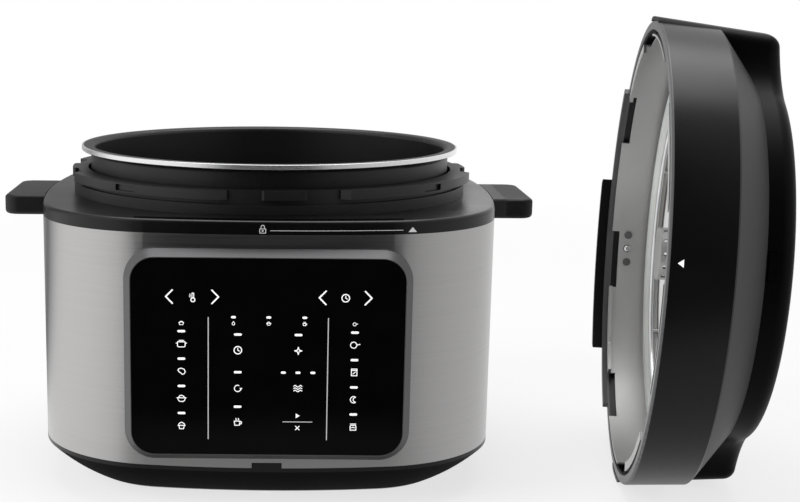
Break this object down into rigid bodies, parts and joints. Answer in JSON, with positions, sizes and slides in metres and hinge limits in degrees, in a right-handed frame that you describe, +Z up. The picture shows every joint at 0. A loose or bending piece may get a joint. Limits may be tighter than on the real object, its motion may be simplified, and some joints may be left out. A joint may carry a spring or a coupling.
{
  "type": "electric pressure cooker",
  "caption": "Countertop electric pressure cooker with a brushed steel body, black glass control panel, removable coated pot and a domed twist-lock lid stood on edge beside it.",
  "frame": {"origin": "middle of the base on the surface that its feet stand on", "axes": "+Z up, +X to the right of someone facing the control panel, +Y to the back; the lid stands at +X"},
  "size_m": [0.4831, 0.3631, 0.2905],
  "materials": {
    "black_plastic": "satin moulded",
    "gloss_black": "gloss",
    "grey_plastic": "satin",
    "bezel_grey": "satin",
    "brushed_steel": "brushed",
    "pressed_steel": "satin",
    "coated_pot": "non-stick coat with a bare edge",
    "aluminium": "cast",
    "panel_glass": "gloss",
    "rubber": "matte",
    "silicone": "matte",
    "chrome": "polished",
    "screw_steel": "zinc",
    "board_green": "lacquered"
  },
  "bodies": {
    "base": {"base_housing": "black_plastic", "rubber_feet": "rubber", "base_screws": "screw_steel", "outer_shell": "brushed_steel", "top_plate": "black_plastic", "left_handle": "black_plastic", "right_handle": "black_plastic", "locking_ring": "black_plastic", "outer_pot": "pressed_steel", "heating_plate": "aluminium", "heating_element": "pressed_steel", "sensor_bracket": "pressed_steel", "sensor_spring": "screw_steel", "panel_bezel": "bezel_grey", "panel_glass": "panel_glass", "control_board": "board_green", "display_module": "black_plastic", "power_board": "board_green", "power_relay": "gloss_black", "board_transformer": "gloss_black", "power_inlet": "black_plastic", "inlet_pins": "screw_steel"},
    "inner_pot": {"inner_pot": "coated_pot"},
    "sensor": {"temperature_sensor": "aluminium"},
    "seal": {"sealing_ring": "silicone"},
    "lid": {"lid_skirt": "black_plastic", "lid_top_cover": "grey_plastic", "lid_crown": "gloss_black", "lid_locking_ring": "pressed_steel", "lid_plate": "pressed_steel", "seal_rack": "chrome", "lid_screws": "screw_steel", "exhaust_pipe": "chrome", "exhaust_nut": "screw_steel", "button_spring": "screw_steel", "interlock_housing": "black_plastic", "pin_screws": "screw_steel"},
    "float": {"float_valve": "chrome", "float_seal": "silicone"},
    "button": {"release_button": "gloss_black"},
    "valve": {"steam_valve": "black_plastic"},
    "pin": {"interlock_pin": "chrome"},
    "shield": {"debris_shield": "pressed_steel"}
  },
  "joints": [
    {"name": "pot_lift", "type": "slide", "parent": "base", "child": "inner_pot", "axis": [0, 0, 1], "range_m": [0, 0.18]},
    {"name": "sensor_press", "type": "slide", "parent": "base", "child": "sensor", "axis": [0, 0, -1], "range_m": [0, 0.003], "stiffness_N_per_m": 800, "springref_m": -0.003, "deforming": ["sensor_spring"]},
    {"name": "lid_lift", "type": "slide", "parent": "base", "child": "seal", "axis": [0, 0, 1], "range_m": [0, 0.15]},
    {"name": "lid_twist", "type": "hinge", "parent": "seal", "child": "lid", "pos_m": [0.2275, -0.072, 0.14524], "axis": [0.9922, -0.1218, -0.0279], "range_deg": [-30, 0]},
    {"name": "float_rise", "type": "slide", "parent": "lid", "child": "float", "axis": [0.9922, -0.1218, -0.0279], "range_m": [0, 0.0055]},
    {"name": "button_press", "type": "slide", "parent": "lid", "child": "button", "axis": [0.1168, 0.9834, -0.1391], "range_m": [0, 0.003], "stiffness_N_per_m": 400, "springref_m": -0.004, "deforming": ["button_spring"]},
    {"name": "valve_lift", "type": "slide", "parent": "lid", "child": "valve", "axis": [0.9922, -0.1218, -0.0279], "range_m": [0, 0.0015]},
    {"name": "pin_press", "type": "slide", "parent": "lid", "child": "pin", "axis": [0.1168, 0.9834, -0.1391], "range_m": [0, 0.002], "stiffness_N_per_m": 400, "springref_m": -0.003},
    {"name": "debris_shield_pull", "type": "slide", "parent": "lid", "child": "shield", "axis": [-0.9922, 0.1218, 0.0279], "range_m": [0, 0.012]}
  ],
  "couplings": [
    {"joint": "valve_lift", "follows": "button_press", "ratio": 0.5}
  ]
}
